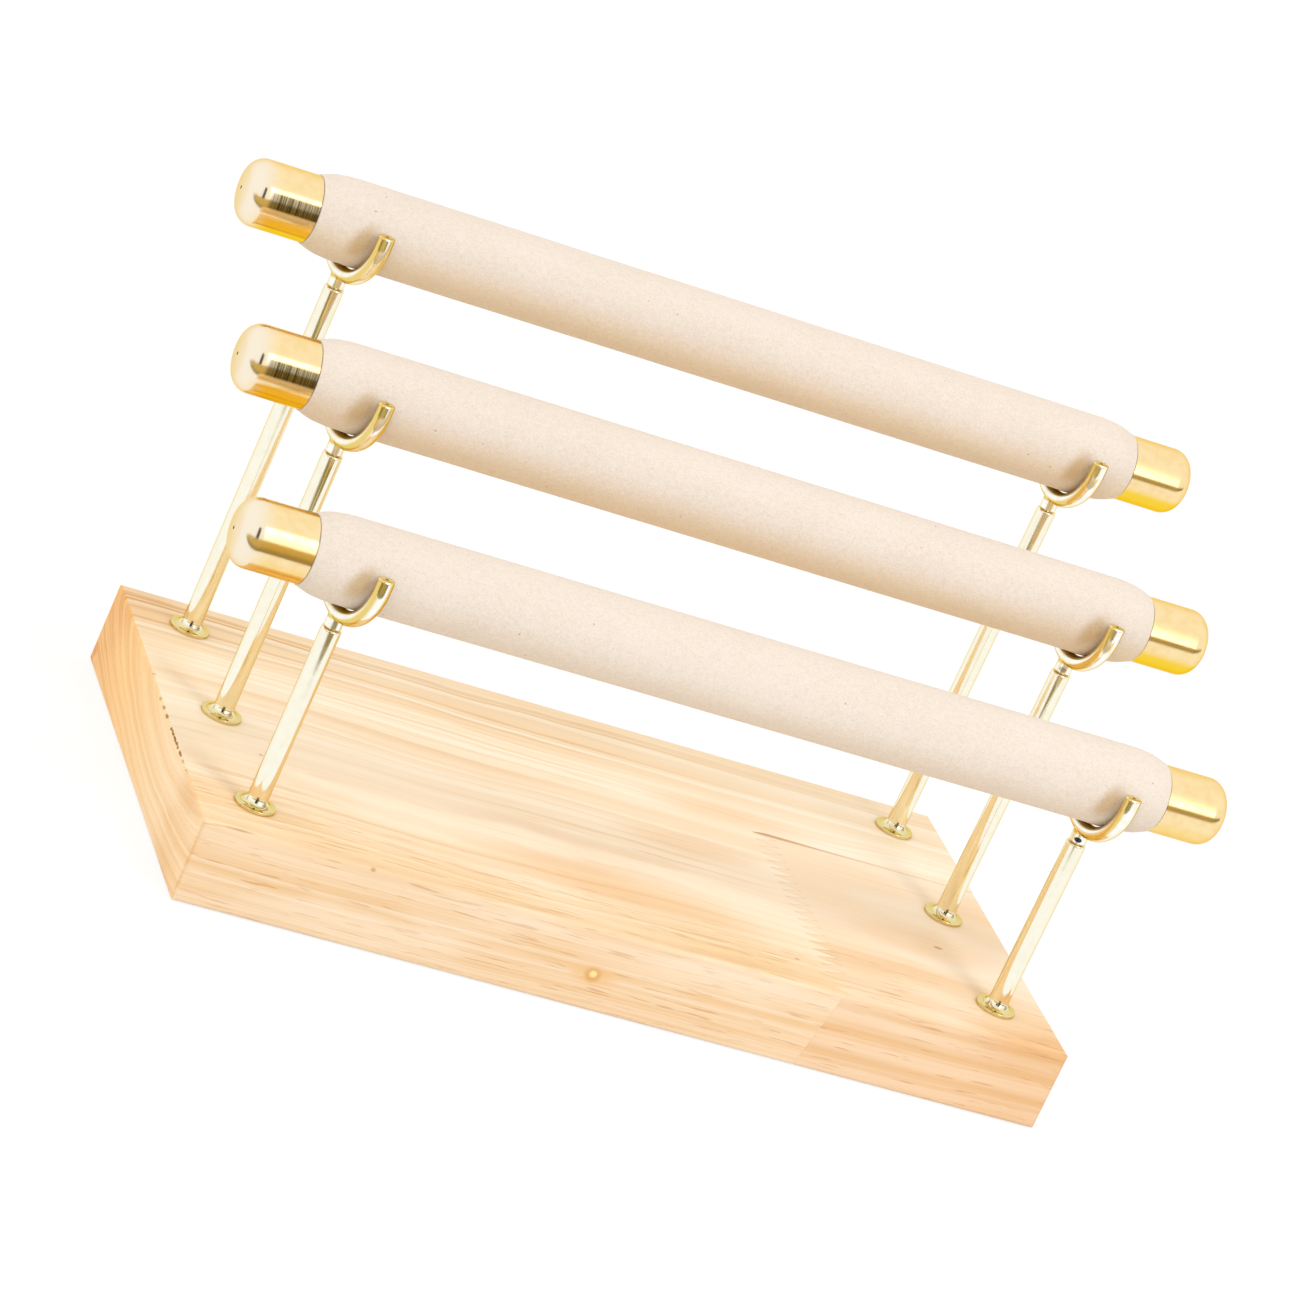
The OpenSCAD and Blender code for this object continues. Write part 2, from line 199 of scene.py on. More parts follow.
# finger-jointed board, growth rings run through it along X
boardLook = {
    "cream": "#fff1da",
    "honey": "#eeca93",
    "ringLine": "#dba966",
    "pore": "#cb8f4e",
    "blush": "#f3dcc6",
    "glue": "#c08a50",
    "heartMiddle": (-30.0, 33.0),  # y and z of the rings' middle
    "heartFlatness": 0.245,
    "ringWidth": 1.25,
    "wander": 4.2,  # how far the rings stray slowly
    "wanderStretch": (0.006, 0.02, 0.03),
    "ripple": 1.1,  # how far they stray finely
    "rippleStretch": (0.022, 0.05, 0.06),
    "ringStray": 2.2,
    "ringUneven": (0.32, 0.62, 0.15, 0.85),
    "otherSlope": (0.02, 0.3, 0.8),  # how the second stave's rings lie along X, Y and Z
    "otherHeart": 30.0,
    "endFace": (148.9, 149.6),  # distance along X over which the top turns into a sawn end
    "frontFace": (-80.4, -81.2),
    "frontZone": (-34.0, -66.0),
    "backZone": (34.0, 80.0),
    "patchStretch": (0.011, 0.028, 0.04),
    "honeyBands": 0.3,
    "honeyFade": (0.34, 0.7, 0.02, 0.52),
    "honeyPatches": (0.3, 0.62, 0.45, 1.15),
    "honeyOnOther": 0.45,
    "zoneHoney": (0.4, 0.34),  # more honey in the front zone and in the back zone
    "streakScale": 1.1,
    "streakFade": (0.5, 0.74),
    "breakStretch": (0.02, 0.16, 0.2),
    "breakFade": (0.42, 0.62),
    "linesRear": (-40.0, -110.0, 0.42, 1.0),  # the ring lines are strongest at the rear left
    "linesFront": 0.25,
    "linesPatchy": (0.36, 0.66, 0.2, 0.5),
    "linesRight": (20.0, 75.0, 1.0, 0.4),
    "linesOnFront": 0.55,
    "linesOnEnd": 0.6,
    "fibreStretch": (0.014, 0.9, 0.9),
    "fibreFade": (0.46, 0.78, 0.0, 0.34),
    "poreStretch": (0.06, 1.2, 1.2),
    "poreFade": (0.78, 0.86),
    "poreCrowding": (0.12, 0.06, 0.12),  # in patches, in the front zone and along the rings
    "poreStrength": (0.08, 0.4),  # everywhere, and more in the front zone
    "poresOnEnd": 0.3,
    "blushFade": (0.44, 0.6, 0.0, 0.55),
    "staveEdgeY": 26.0,
    "jointX": 69.5,
    "fingerLength": 8.0,
    "fingerPitch": 4.9,
    "jointSlant": 0.22,
    "zigzagWidth": (0.55, 0.15),
    "zigzagStrength": 0.45,
    "zigzagFade": (-81.0, -60.0, 0.1, 1.0),  # along Y, faint on the front
    "glueHalf": (68.0, 96.0, 1.7, 0.9),  # half width of the straight glue line, along X
    "glueFade": (70.0, 120.0, 0.85, 0.3),
    "staveTint": "#f9efe4",
    "endTint": "#fbdfae",
    "endTintFront": "#faeedb",
    "endTintFade": (-60.0, 50.0),
    "frontTint": "#f4ece7",
    "knots": [  # middle, half length along X, half width, colour, how strong
        ((-13.0, -81.5, 12.3), 10.0, 4.2, "#e5b777", 0.55),
        ((-13.0, -81.5, 12.3), 3.4, 3.2, "#d79f52", 0.85),
        ((-13.0, -81.5, 12.6), 1.7, 1.6, "#f6dfa4", 0.9),
        ((-93.8, -81.0, 27.0), 1.4, 0.9, "#b97b58", 0.8),
        ((119.5, -26.1, 28.0), 2.2, 1.3, "#c98a52", 0.75),
        ((56.5, -64.2, 28.0), 1.2, 0.8, "#bd9468", 0.7),
        ((-149.2, 17.2, 28.0), 1.2, 0.9, "#c99a6a", 0.6),
        ((-120.0, -22.1, 28.0), 1.1, 0.8, "#bd9468", 0.7),
        ((-138.0, -80.6, 27.6), 7.0, 0.7, "#a87c55", 0.7),
        ((-150.0, 78.6, 4.4), 1.6, 3.0, "#d98f55", 0.7),
    ],
    "knotEdge": (1.1, 0.35),
    "edgeNicks": [  # y, half length and strength of the dark nicks on the left top edge
        (0.1, 1.2, 0.45), (-5.8, 1.1, 0.7), (-11.8, 1.4, 0.85), (-26.5, 7.0, 1.0),
        (-36.8, 1.8, 0.95), (-42.0, 1.1, 0.6), (-48.6, 1.6, 0.4),
    ],
    "nick": "#94681a",
    "nickEdge": (-149.9, 27.9),  # x and z of that edge
    "nickReach": (1.36, 1.1),
    "nickRagged": 1.4,
    "raggedStretch": (0.9, 0.7, 0.9),
    "stainsAndShadow": [  # soft patches: middle, half length along X, half width, warm or rosy, how strong
        ((-150.0, 70.0), 26.0, 18.0, "warm", 0.45),
        ((-142.0, 38.0), 14.0, 16.0, "warm", 0.3),
        ((-150.0, -60.0), 32.0, 12.0, "warm", 0.55),
        ((56.0, 32.0), 34.0, 9.0, "warm", 0.6),
        ((2.0, -49.0), 56.0, 14.0, "warm", 0.75),
        ((38.0, 0.0), 28.0, 9.0, "warm", 0.5),
        # painted shadow of the front right post and bar, not a stain
        ((112.0, -26.0), 30.0, 12.0, "warm", 0.5),
        ((142.0, 2.0), 16.0, 24.0, "warm", 0.4),
        ((148.0, -80.0), 34.0, 14.0, "warm", 1.0),
        ((116.0, 57.0), 56.0, 20.0, "rosy", 0.95),
        ((20.0, 62.0), 50.0, 9.0, "rosy", 0.3),
        ((-40.0, -79.0), 110.0, 8.0, "rosy", 0.4),
    ],
    "warm": "#f3dcbb",
    "rosy": "#8f8276",
    "stainAndShadowEdge": (0.9, -0.1),
    "stainAndShadowPatchy": 0.8,
    "stainAndShadowTop": (16.0, 27.0, 0.25, 1.0),  # along Z
    "roughness": (0.5, 0.62),
    "shine": 0.3,
    "grainParts": (-0.12, 0.6),  # pores and fibres
    "grainStrength": 0.35,
    "grainDepth": 0.12,
}


def jointShares(tree, look, x, y, z):
    # where the second stave lies, and the glue lines between the staves
    pitch, length, slope = look["fingerPitch"], look["fingerLength"], look["jointSlant"]
    step = calc(tree, "PINGPONG", calc(tree, "ADD", y, 200.0), pitch / 2)  # above zero all over the board
    step = calc(tree, "MULTIPLY_ADD", step, 2 * length / pitch, -length / 2)
    slant = calc(tree, "MULTIPLY_ADD", z, slope, look["jointX"] - stand["boardTop"] * slope)
    pastJoint = calc(tree, "SUBTRACT", x, calc(tree, "ADD", slant, step))
    inStrip = calc(tree, "SUBTRACT", look["staveEdgeY"], y)
    other = times(tree, spread(tree, pastJoint, -0.12, 0.12), spread(tree, inStrip, -0.15, 0.15))
    alongZigzag = times(
        tree,
        spread(tree, calc(tree, "ABSOLUTE", pastJoint), *look["zigzagWidth"]),
        spread(tree, inStrip, -0.1, 0.1, 0.0, look["zigzagStrength"]),
        spread(tree, y, *look["zigzagFade"]),
    )
    half = spread(tree, x, *look["glueHalf"])
    alongEdge = times(
        tree,
        spread(tree, calc(tree, "DIVIDE", calc(tree, "ABSOLUTE", inStrip), half), 1.0, 0.15),
        spread(tree, pastJoint, -1.0, 0.5),
        spread(tree, x, *look["glueFade"]),
    )
    return other, calc(tree, "MAXIMUM", alongZigzag, alongEdge)


def ringDistance(tree, look, place, x, y, z, other):
    # distance from the heart, wandering a little along the board
    heartY, heartZ = look["heartMiddle"]
    slopeX, slopeY, slopeZ = look["otherSlope"]
    across = times(tree, calc(tree, "SUBTRACT", y, heartY), look["heartFlatness"])
    heart = point(tree, across, calc(tree, "SUBTRACT", z, heartZ))
    wander = cloud(tree, place, look["wanderStretch"], 2.0, 0.45)
    ripple = cloud(tree, place, look["rippleStretch"], 2.0, 0.5, (1.0, 6.0, 2.0))
    wander = calc(tree, "MULTIPLY_ADD", wander, look["wander"], times(tree, ripple, look["ripple"]))
    mainRing = calc(tree, "ADD", wander, vecCalc(tree, "LENGTH", heart))
    across = calc(tree, "MULTIPLY_ADD", y, slopeY, times(tree, x, slopeX))
    heart = point(tree, across, calc(tree, "MULTIPLY_ADD", z, slopeZ, look["otherHeart"]))
    otherRing = calc(tree, "ADD", wander, vecCalc(tree, "LENGTH", heart))
    return addNode(tree, "ShaderNodeMix", {0: other, 2: mainRing, 3: otherRing}, data_type="FLOAT").outputs[0]


def honeyShare(tree, look, spot):
    # broad soft bands of cream and honey, deeper in the front and back zones
    inFront, inBack = look["zoneHoney"]
    broad = spread(tree, band(tree, spot["ring"], look["honeyBands"]), *look["honeyFade"])
    zones = calc(tree, "MULTIPLY_ADD", spot["nearFront"], inFront, times(tree, spot["nearBack"], inBack))
    patches = spread(tree, spot["patchy"], *look["honeyPatches"])
    zones = times(tree, zones, patches, dim(tree, spot["other"], look["honeyOnOther"]))
    return calc(tree, "ADD", broad, zones)


def lateWood(tree, look, place, spot):
    # soft lines along the rings, uneven in width and strength
    ring, x = spot["ring"], spot["x"]
    stray = band(tree, ring, 0.3, 1.0, 0.5, 17.0)
    turn = calc(tree, "MULTIPLY_ADD", stray, look["ringStray"], calc(tree, "DIVIDE", ring, look["ringWidth"]))
    turn = calc(tree, "FRACT", turn)
    uneven = spread(tree, band(tree, ring, 0.75, shift=40.0), *look["ringUneven"])
    line = times(tree, spread(tree, turn, 0.1, 0.8), spread(tree, turn, 1.0, 0.82), uneven)
    streak = spread(tree, band(tree, ring, look["streakScale"], 3.0, 0.6, 71.0), *look["streakFade"])
    broken = cloud(tree, place, look["breakStretch"], shift=(7.0, 3.0, 4.0))
    line = calc(tree, "MAXIMUM", line, times(tree, streak, spread(tree, broken, *look["breakFade"])))
    # fainter to the right, on the front and on the sawn ends
    strength = times(tree, spot["nearBack"], spread(tree, x, *look["linesRear"]))
    strength = calc(tree, "MULTIPLY_ADD", spot["nearFront"], look["linesFront"], strength)
    strength = calc(tree, "ADD", strength, spread(tree, spot["patchy"], *look["linesPatchy"]))
    return times(
        tree,
        line,
        strength,
        spread(tree, x, *look["linesRight"]),
        dim(tree, spot["front"], look["linesOnFront"]),
        dim(tree, spot["end"], look["linesOnEnd"]),
    )


def openPores(tree, look, place, spot):
    # short dashes, most of them in the front zone
    everywhere, more = look["poreStrength"]
    crowded = cloud(tree, place, look["poreStretch"], shift=(3.0, 8.0, 1.0))
    wheres = (spot["patchy"], spot["nearFront"], band(tree, spot["ring"], 0.7, shift=90.0))
    for where, crowding in zip(wheres, look["poreCrowding"]):
        crowded = calc(tree, "MULTIPLY_ADD", where, crowding, crowded)
    pores = spread(tree, crowded, *look["poreFade"])
    return times(tree, pores, calc(tree, "MULTIPLY_ADD", spot["nearFront"], more, everywhere))


def stainAndShadeWood(tree, look, spot, tone):
    # warm and rosy stains and one painted shadow, faint below the top
    onTop = spread(tree, spot["z"], *look["stainAndShadowTop"])
    for (midX, midY), longR, wideR, kind, strength in look["stainsAndShadow"]:
        offX = calc(tree, "DIVIDE", calc(tree, "SUBTRACT", spot["x"], midX), longR)
        offY = calc(tree, "DIVIDE", calc(tree, "SUBTRACT", spot["y"], midY), wideR)
        reach = vecCalc(tree, "LENGTH", point(tree, offX, offY))
        reach = calc(tree, "MULTIPLY_ADD", spot["patchy"], -look["stainAndShadowPatchy"], reach)
        patchShare = times(tree, spread(tree, reach, *look["stainAndShadowEdge"], 0.0, strength), onTop)
        tone = mixPaint(tree, patchShare, tone, paint(look[kind]), "MULTIPLY" if kind == "warm" else "SCREEN")
    return tone


def nickEdge(tree, look, place, spot, tone):
    # dark nicks along the left top edge, uneven in width
    edgeX, edgeZ = look["nickEdge"]
    offEdge = point(tree, calc(tree, "SUBTRACT", spot["x"], edgeX), calc(tree, "SUBTRACT", spot["z"], edgeZ))
    ragged = cloud(tree, place, look["raggedStretch"])
    ragged = calc(tree, "MULTIPLY_ADD", ragged, look["nickRagged"], vecCalc(tree, "LENGTH", offEdge))
    atEdge = spread(tree, ragged, *look["nickReach"])
    for nickY, half, strength in look["edgeNicks"]:
        away = calc(tree, "ABSOLUTE", calc(tree, "SUBTRACT", spot["y"], nickY))
        nick = times(tree, atEdge, spread(tree, away, half + 0.5, half - 0.5, 0.0, strength))
        tone = mixPaint(tree, nick, tone, paint(look["nick"]))
    return tone


def boardWood(look):
    material, tree, shader, place = newMaterial("boardWood")
    x, y, z = splitAxes(tree, place)
    other, glue = jointShares(tree, look, x, y, z)
    end = spread(tree, calc(tree, "ABSOLUTE", x), *look["endFace"])
    front = spread(tree, y, *look["frontFace"])
    patchy = cloud(tree, place, look["patchStretch"], shift=(5.0, 2.0, 9.0))
    spot = {  # where on the board a point lies, and what runs through the wood there
        "x": x,
        "y": y,
        "z": z,
        "ring": ringDistance(tree, look, place, x, y, z, other),
        "other": other,
        "end": end,
        "front": front,
        "nearFront": spread(tree, y, *look["frontZone"]),
        "nearBack": spread(tree, y, *look["backZone"]),
        "patchy": patchy,
    }
    fibre = cloud(tree, place, look["fibreStretch"], 4.0, 0.62)
    pores = openPores(tree, look, place, spot)
    tone = mixPaint(tree, honeyShare(tree, look, spot), paint(look["cream"]), paint(look["honey"]))
    tone = mixPaint(tree, lateWood(tree, look, place, spot), tone, paint(look["ringLine"]))
    tone = mixPaint(tree, spread(tree, fibre, *look["fibreFade"]), tone, paint(look["honey"]))
    tone = mixPaint(tree, times(tree, pores, dim(tree, end, look["poresOnEnd"])), tone, paint(look["pore"]))
    # rosy patches on the front and on the second stave
    blush = times(tree, spread(tree, patchy, *look["blushFade"]), calc(tree, "MAXIMUM", front, other))
    tone = mixPaint(tree, blush, tone, paint(look["blush"]), "SCREEN")
    tone = mixPaint(tree, other, tone, paint(look["staveTint"]), "MULTIPLY")
    tone = stainAndShadeWood(tree, look, spot, tone)
    # the sawn ends are deeper in colour
    nearTint, farTint = paint(look["endTintFront"]), paint(look["endTint"])
    endTint = mixPaint(tree, spread(tree, y, *look["endTintFade"]), nearTint, farTint)
    tone = mixPaint(tree, end, tone, endTint, "MULTIPLY")
    tone = mixPaint(tree, front, tone, paint(look["frontTint"]), "MULTIPLY")
    tone = mixPaint(tree, glue, tone, paint(look["glue"]))
    for middle, longR, wideR, colour, strength in look["knots"]:
        size = (longR, wideR, wideR)
        tone = paintSpot(tree, place, tone, middle, size, look["knotEdge"], colour, strength)
    tone = nickEdge(tree, look, place, spot, tone)
    plug(tree, shader.inputs["Base Color"], tone)
    plug(tree, shader.inputs["Roughness"], spread(tree, fibre, 0.3, 0.7, *look["roughness"]))
    shader.inputs["Specular IOR Level"].default_value = look["shine"]
    inPores, inFibres = look["grainParts"]
    grain = calc(tree, "MULTIPLY_ADD", pores, inPores, times(tree, fibre, inFibres))
    bump(tree, shader, grain, look["grainStrength"], look["grainDepth"])
    return material


# brushed suede, a fine nap with soft cloudy patches and a few dark specks
suedeLook = {
    "light": "#e3d8cd",
    "deep": "#d7c8ba",
    # painted warm shade on the underside
    "tan": "#fff6e3",
    # painted shadow of the cradles' arms on the cloth
    "armShadow": "#e0caa2",
    "napStretch": (1.9, 1.9, 1.9),
    "brushedStretch": (0.5, 0.75, 0.75),
    "patchStretch": (0.035, 0.06, 0.06),
    "shares": (0.75, 0.3, 0.15),  # of those three in the tone
    "toneFade": (0.42, 0.8),
    "speck": "#8a6f58",
    "specks": [(0.11, 0.05, 0.6), (0.34, 0.1, 0.22)],  # how dense, how large, how strong
    "roughness": 0.92,
    "shine": 0.15,
    "sheen": 0.25,
    "sheenRoughness": 0.45,
    "sheenTint": "#fff0e2",
    "brushedDepth": 0.6,
    "napStrength": 0.5,
    "napDepth": 0.12,
}


def suedeCloth(look):
    material, tree, shader, place = newMaterial("suedeCloth")
    nap = cloud(tree, place, look["napStretch"], 3.0, 0.7)
    brushed = cloud(tree, place, look["brushedStretch"], 3.0, 0.6, (4.0, 0.0, 2.0))
    patches = cloud(tree, place, look["patchStretch"], shift=(9.0, 1.0, 5.0))
    ofNap, ofBrushed, ofPatches = look["shares"]
    share = calc(tree, "MULTIPLY_ADD", brushed, ofBrushed, times(tree, patches, ofPatches))
    share = spread(tree, calc(tree, "MULTIPLY_ADD", nap, ofNap, share), *look["toneFade"])
    tone = mixPaint(tree, share, paint(look["light"]), paint(look["deep"]))
    for scale, near, strength in look["specks"]:
        cells = addNode(tree, "ShaderNodeTexVoronoi", {"Vector": place, "Scale": scale, "Randomness": 1.0})
        speck = spread(tree, cells.outputs["Distance"], near, near * 0.4, 0.0, strength)
        tone = mixPaint(tree, speck, tone, paint(look["speck"]))
    # painted warm shade on the underside, and painted soft shadows of the cradles' near arms beside them
    for key in ("tan", "armShadow"):
        share = addNode(tree, "ShaderNodeAttribute", attribute_name=key).outputs["Fac"]
        tone = mixPaint(tree, share, tone, paint(look[key]), "MULTIPLY")
    plug(tree, shader.inputs["Base Color"], tone)
    shader.inputs["Roughness"].default_value = look["roughness"]
    shader.inputs["Specular IOR Level"].default_value = look["shine"]
    shader.inputs["Sheen Weight"].default_value = look["sheen"]
    shader.inputs["Sheen Roughness"].default_value = look["sheenRoughness"]
    shader.inputs["Sheen Tint"].default_value = paint(look["sheenTint"])
    height = calc(tree, "MULTIPLY_ADD", brushed, look["brushedDepth"], nap)
    bump(tree, shader, height, look["napStrength"], look["napDepth"])
    return material


# polished plate, with the fine rings that turning and buffing leave: what all the metal pieces share
plateLook = {
    "smearStretch": (0.3, 0.3, 0.3),
    "smearFade": (0.35, 0.7),
    "glossSpread": 0.03,
    "scratchStretch": (2.5, 2.5, 2.5),
    "scratchDepth": 0.08,
    "ringsFade": 3.0,
    "depth": 0.02,
}


def goldMetal(name, look, finish):
    material, tree, shader, place = newMaterial(name)
    along = splitAxes(tree, place)[look["axis"]]
    rings = band(tree, along, look["ringScale"], 3.0, 0.6)
    smear = cloud(tree, place, plateLook["smearStretch"])
    share = spread(tree, smear, *plateLook["smearFade"])
    tone = mixPaint(tree, share, paint(look["tone"]), paint(look["deepTone"]))
    plug(tree, shader.inputs["Base Color"], finish(tree, look, place, tone))
    shader.inputs["Metallic"].default_value = 1.0
    shader.inputs["Specular Tint"].default_value = paint(look["grazing"])
    gloss, start = look["gloss"], look["ringsFrom"]
    rough = spread(tree, smear, 0.3, 0.7, gloss, gloss + plateLook["glossSpread"])
    plug(tree, shader.inputs["Roughness"], rough)
    scratch = cloud(tree, place, plateLook["scratchStretch"], 2.0, 0.6)
    depth = spread(tree, along, start, start + plateLook["ringsFade"], 0.0, look["ringDepth"])
    height = calc(tree, "MULTIPLY_ADD", scratch, plateLook["scratchDepth"], times(tree, rings, depth))
    bump(tree, shader, height, look["wear"], plateLook["depth"])
    return material


postLook = {
    "tone": "#f3e9c6",
    "deepTone": "#f1e6c0",
    "grazing": "#ecd592",
    "gloss": 0.09,
    "axis": 2,
    "ringScale": 1.4,
    "ringDepth": 0.25,
    "ringsFrom": 32.0,
    "wear": 0.12,
    "facing": -115.0,  # direction in which the hollow curve mirrors the dark side of the room
    "foot": "#e2cf92",
    "footTop": (29.4, 31.0),
    # painted reflections of the dark room, as dark streaks on the foot
    "darkReflections": [  # place across the post, half width, heights, colour, how strong
        (0.5, 0.55, (30.1, 32.6), "#2b2614", 0.85),
        (3.0, 0.6, (29.7, 31.6), "#8f7020", 0.7),
        (-2.7, 0.45, (29.8, 31.6), "#a58a3c", 0.5),
    ],
}
cradleLook = {
    "tone": "#f7f1db",
    "deepTone": "#f3e9c4",
    "grazing": "#ead08a",
    # painted shade and reflection of the shaded cloth inside the bend, and a painted reflection outside it
    "inside": "#a78334",
    "outside": "#e0bb45",
    "insideShadeUp": (1.0, -5.0),
    "insideShadeReach": (16.3, 14.9, 0.0, 0.92),  # distances from the bar's middle
    "outsideReach": (16.9, 17.8, 0.0, 0.85),
    "outsideEnd": (18.9, 18.5),
    "armAway": 16.95,
    "tipUp": 4.2,  # height of an arm's tip above the bar's middle
    # painted shade of a small centre mark on each tip
    "tipMarkShade": "#3b3016",
    "tipMarkShadeReach": (0.75, 0.4, 0.0, 0.9),
    # painted shade at the waist under two collars
    "hole": "#14130f",
    "holeEdge": (1.0, 0.75),
    "holeSize": (1.5, 1.5, 0.95),
    "holes": [((128.2, -63.0, 92.7), 0.95), ((128.2, -2.5, 123.9), 0.45)],  # middle, how strong
    "gloss": 0.12,
    "axis": 0,
    "ringScale": 0.8,
    "ringDepth": 0.15,
    "ringsFrom": -200.0,
    "wear": 0.12,
}
capLook = {
    "tone": "#f4d595",
    "deepTone": "#f2cf8a",
    "grazing": "#f3d9a0",
    "domeTone": "#f1dfba",
    "domeFrom": (-160.0, -168.5),
    # painted reflection of the board below, on the caps' undersides
    "underReflectionTone": "#f1c63c",
    "underFade": (-2.0, -5.0),
    "underRows": (-1.0, 0.0, 0.25, 1.0),  # weaker in the front row
    # painted reflection of the dark room, a band with fine ticks
    "darkReflectionTones": ("#54492f", "#8f7f5c"),
    "darkReflectionTicks": 1.3,
    "tickFade": (0.42, 0.6),
    "darkReflectionFades": {  # from none to full, away from the bar's middle and along X
        "top": (5.4, 4.4),
        "bottom": (-0.9, 0.3),
        "front": (-3.0, -5.0),
        "right": (-130.0, -140.0),
        "left": (-164.5, -163.0),
    },
    "gloss": 0.15,
    "axis": 0,
    "ringScale": 2.2,
    "ringDepth": 0.9,
    "ringsFrom": -200.0,
    "wear": 0.2,
}


def rowPlace(tree, y, z):
    # the row, from -1 to 1, and how far behind and above the middle of its bar a point lies
    row = calc(tree, "ROUND", calc(tree, "DIVIDE", y, stand["rowGap"]))
    off = calc(tree, "MULTIPLY_ADD", row, -stand["rowGap"], y)
    up = calc(tree, "MULTIPLY_ADD", row, -stand["rise"], calc(tree, "SUBTRACT", z, stand["middleRowZ"]))
    return row, off, up


def postFinish(tree, look, place, tone):
    # deeper gold on the foot, and dark streaks where its hollow curve turns up, which are painted reflections
    # of the dark side of the room
    x, y, z = splitAxes(tree, place)
    offX = calc(tree, "SUBTRACT", calc(tree, "ABSOLUTE", x), stand["postX"])
    offX = times(tree, offX, calc(tree, "SIGN", x))
    offY = rowPlace(tree, y, z)[1]
    faceX, faceY = (f(math.radians(look["facing"])) for f in (math.cos, math.sin))
    across = calc(tree, "SUBTRACT", times(tree, offY, faceX), times(tree, offX, faceY))
    ahead = calc(tree, "ADD", times(tree, offX, faceX), times(tree, offY, faceY))
    low, high = look["footTop"]
    tone = mixPaint(tree, spread(tree, z, high, low), tone, paint(look["foot"]))
    for middle, half, (low, high), colour, strength in look["darkReflections"]:
        away = calc(tree, "ABSOLUTE", calc(tree, "SUBTRACT", across, middle))
        streak = times(
            tree,
            spread(tree, away, half, half * 0.4),
            spread(tree, ahead, 1.0, 2.0),
            spread(tree, z, low, low + 0.4),
            spread(tree, z, high, high - 0.8),
            strength,
        )
        tone = mixPaint(tree, streak, tone, paint(colour))
    return tone


def capFinish(tree, look, place, tone):
    # yellower underneath, a painted reflection of the board below, most in the rows behind the front one
    x, y, z = splitAxes(tree, place)
    row, off, up = rowPlace(tree, y, z)
    under = times(tree, spread(tree, up, *look["underFade"]), spread(tree, row, *look["underRows"]))
    tone = mixPaint(tree, under, tone, paint(look["underReflectionTone"]))
    # painted reflection of the dark room: the middle and back caps on the left carry a dark band with fine
    # ticks along their front
    ticks = spread(tree, band(tree, x, look["darkReflectionTicks"], 2.0, 0.6), *look["tickFade"])
    darkReflectionTone = mixPaint(tree, ticks, *(paint(code) for code in look["darkReflectionTones"]))
    measures = {"top": up, "bottom": up, "front": off, "right": x, "left": x}
    edges = [spread(tree, measures[key], *fades) for key, fades in look["darkReflectionFades"].items()]
    tone = mixPaint(tree, times(tree, spread(tree, row, -1.0, 0.0), *edges), tone, darkReflectionTone)
    # paler on the left ends
    return mixPaint(tree, spread(tree, x, *look["domeFrom"]), tone, paint(look["domeTone"]))


def cradleFinish(tree, look, place, tone):
    # painted shade and reflection of the shaded cloth inside the bend, a deeper painted reflection outside,
    # painted shade in a centre mark on each tip and painted shade at the waist under two collars
    x, y, z = splitAxes(tree, place)
    row, off, up = rowPlace(tree, y, z)
    reach = vecCalc(tree, "LENGTH", point(tree, off, calc(tree, "MINIMUM", up, 0.0)))
    inner = times(tree, spread(tree, up, *look["insideShadeUp"]), spread(tree, reach, *look["insideShadeReach"]))
    tone = mixPaint(tree, inner, tone, paint(look["inside"]))
    outer = times(tree, *(spread(tree, reach, *look[key]) for key in ("outsideReach", "outsideEnd")))
    tone = mixPaint(tree, outer, tone, paint(look["outside"]))
    inRow = point(tree, x, off, up)
    for side, middleX in (("left", -stand["postX"]), ("right", stand["postX"])):
        turn = math.radians(stand["turn"][side])
        for way in (-look["armAway"], look["armAway"]):
            tip = (middleX - way * math.sin(turn), way * math.cos(turn), look["tipUp"])
            away = vecCalc(tree, "DISTANCE", inRow, tip)
            tone = mixPaint(tree, spread(tree, away, *look["tipMarkShadeReach"]), tone, paint(look["tipMarkShade"]))
    size, edge = look["holeSize"], look["holeEdge"]
    for middle, strength in look["holes"]:
        tone = paintSpot(tree, place, tone, middle, size, edge, look["hole"], strength)
    return tone


# pieces inside or below the others: one soft pattern between two tones
steelLook = {
    "stretch": (0.8, 0.8, 0.8),
    "tones": ("#c9ccd0", "#a9adb3"),
    "fades": (0.3, 0.7),
    "metallic": 1.0,
    "roughness": (0.28, 0.42),
    "strength": 0.2,
    "depth": 0.03,
}
dowelLook = {
    "stretch": (0.015, 0.7, 0.7),
    "tones": ("#e3c497", "#cfa872"),
    "fades": (0.3, 0.7),
    "metallic": 0.0,
    "roughness": 0.7,
    "strength": 0.3,
    "depth": 0.1,
}
foamLook = {
    "stretch": (1.2, 1.2, 1.2),
    "tones": ("#f6f1e6", "#e7dfcf"),
    "fades": (0.35, 0.65),
    "metallic": 0.0,
    "roughness": 0.95,
    "strength": 0.6,
    "depth": 0.3,
}


def plainFinish(name, look):
    material, tree, shader, place = newMaterial(name)
    pattern = cloud(tree, place, look["stretch"], 3.0, 0.6)
    first, second = (paint(code) for code in look["tones"])
    tone = mixPaint(tree, spread(tree, pattern, *look["fades"]), first, second)
    plug(tree, shader.inputs["Base Color"], tone)
    rough = look["roughness"]
    if isinstance(rough, tuple):
        rough = spread(tree, pattern, *look["fades"], *rough)
    plug(tree, shader.inputs["Roughness"], rough)
    shader.inputs["Metallic"].default_value = look["metallic"]
    bump(tree, shader, pattern, look["strength"], look["depth"])
    return material


